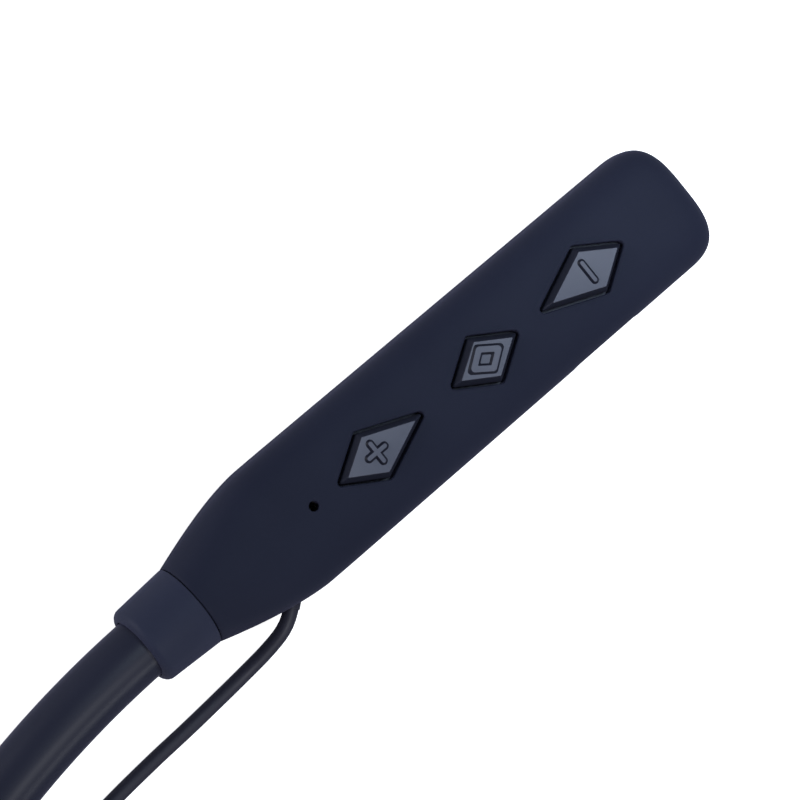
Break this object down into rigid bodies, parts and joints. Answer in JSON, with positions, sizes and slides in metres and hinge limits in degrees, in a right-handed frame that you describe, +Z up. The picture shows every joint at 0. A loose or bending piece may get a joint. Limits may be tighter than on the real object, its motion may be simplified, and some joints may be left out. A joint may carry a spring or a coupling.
{
  "type": "neckband earphones",
  "caption": "Wireless neckband earphones: flexible U-shaped neck band, two flat pods with kite-shaped buttons on one, and an in-ear bud on a thin lead from each pod.",
  "frame": {"origin": "on the table under the middle of the band's footprint, leads and earbuds left out", "axes": "+Z up from the table the band lies on, +Y towards the back of the neck arc, +X towards the pod with the buttons (the wearer's left)"},
  "size_m": [0.1568, 0.1812, 0.0121],
  "materials": {
    "soft_touch_shell": "soft-touch matt, fine grain",
    "band_silicone": "smooth matt silicone",
    "button_cap": "matt, fine spark-eroded grain",
    "cable_jacket": "matt",
    "earbud_shell": "satin",
    "ear_tip_silicone": "soft silicone",
    "steel": "bright",
    "board": "solder mask",
    "black_plastic": "matt",
    "battery_wrap": "laminated foil pouch"
  },
  "bodies": {
    "neck": {"sleeve_neck": "band_silicone", "core_wire_neck": "steel", "harness_neck": "cable_jacket"},
    "left_arm": {"sleeve_left": "band_silicone", "core_wire_left": "steel", "harness_left": "cable_jacket", "left_collar": "soft_touch_shell", "left_upper_shell": "soft_touch_shell", "left_lower_shell": "soft_touch_shell", "left_wire_ferrule": "steel", "main_board": "board", "bluetooth_chip": "black_plastic", "minus_switch": "steel", "function_switch": "steel", "plus_switch": "steel", "microphone": "steel", "mic_gasket": "black_plastic", "usb_socket": "steel", "left_lead_gland": "cable_jacket", "left_lead": "cable_jacket", "left_boot": "cable_jacket", "left_bud_front": "earbud_shell", "left_bud_rear": "earbud_shell", "left_bud_mesh": "steel", "left_driver": "steel", "left_magnet": "steel"},
    "right_arm": {"sleeve_right": "band_silicone", "core_wire_right": "steel", "harness_right": "cable_jacket", "right_collar": "soft_touch_shell", "right_upper_shell": "soft_touch_shell", "right_lower_shell": "soft_touch_shell", "right_wire_ferrule": "steel", "battery": "battery_wrap", "battery_pad": "black_plastic", "protection_board": "board", "right_lead_gland": "cable_jacket", "right_lead": "cable_jacket", "right_boot": "cable_jacket", "right_bud_front": "earbud_shell", "right_bud_rear": "earbud_shell", "right_bud_mesh": "steel", "right_driver": "steel", "right_magnet": "steel"},
    "minus_key": {"minus_button": "button_cap", "minus_plunger": "black_plastic"},
    "function_key": {"function_button": "button_cap", "function_plunger": "black_plastic"},
    "plus_key": {"plus_button": "button_cap", "plus_plunger": "black_plastic"},
    "port_flap": {"port_cover": "band_silicone"},
    "left_tip": {"left_ear_tip": "ear_tip_silicone"},
    "right_tip": {"right_ear_tip": "ear_tip_silicone"}
  },
  "joints": [
    {"name": "left_flex", "type": "hinge", "parent": "neck", "child": "left_arm", "pos_m": [0.06096, 0.03855, 0.00385], "axis": [0, 0, 1], "range_deg": [-4, 15], "stiffness_Nm_per_rad": 0.8},
    {"name": "right_flex", "type": "hinge", "parent": "neck", "child": "right_arm", "pos_m": [-0.06096, 0.03855, 0.00385], "axis": [0, 0, -1], "range_deg": [-4, 15], "stiffness_Nm_per_rad": 0.8},
    {"name": "minus_press", "type": "slide", "parent": "left_arm", "child": "minus_key", "axis": [0, 0, -1], "range_m": [0, 0.0004], "stiffness_N_per_m": 400},
    {"name": "function_press", "type": "slide", "parent": "left_arm", "child": "function_key", "axis": [0, 0, -1], "range_m": [0, 0.0004], "stiffness_N_per_m": 400},
    {"name": "plus_press", "type": "slide", "parent": "left_arm", "child": "plus_key", "axis": [0, 0, -1], "range_m": [0, 0.0004], "stiffness_N_per_m": 400},
    {"name": "port_cover_hinge", "type": "hinge", "parent": "left_arm", "child": "port_flap", "pos_m": [0.06207, -0.06615, 0.00545], "axis": [0, 0, -1], "range_deg": [0, 95]},
    {"name": "left_tip_pull", "type": "slide", "parent": "left_arm", "child": "left_tip", "axis": [1, 0, 0], "range_m": [0, 0.008]},
    {"name": "right_tip_pull", "type": "slide", "parent": "right_arm", "child": "right_tip", "axis": [-1, 0, 0], "range_m": [0, 0.008]}
  ]
}
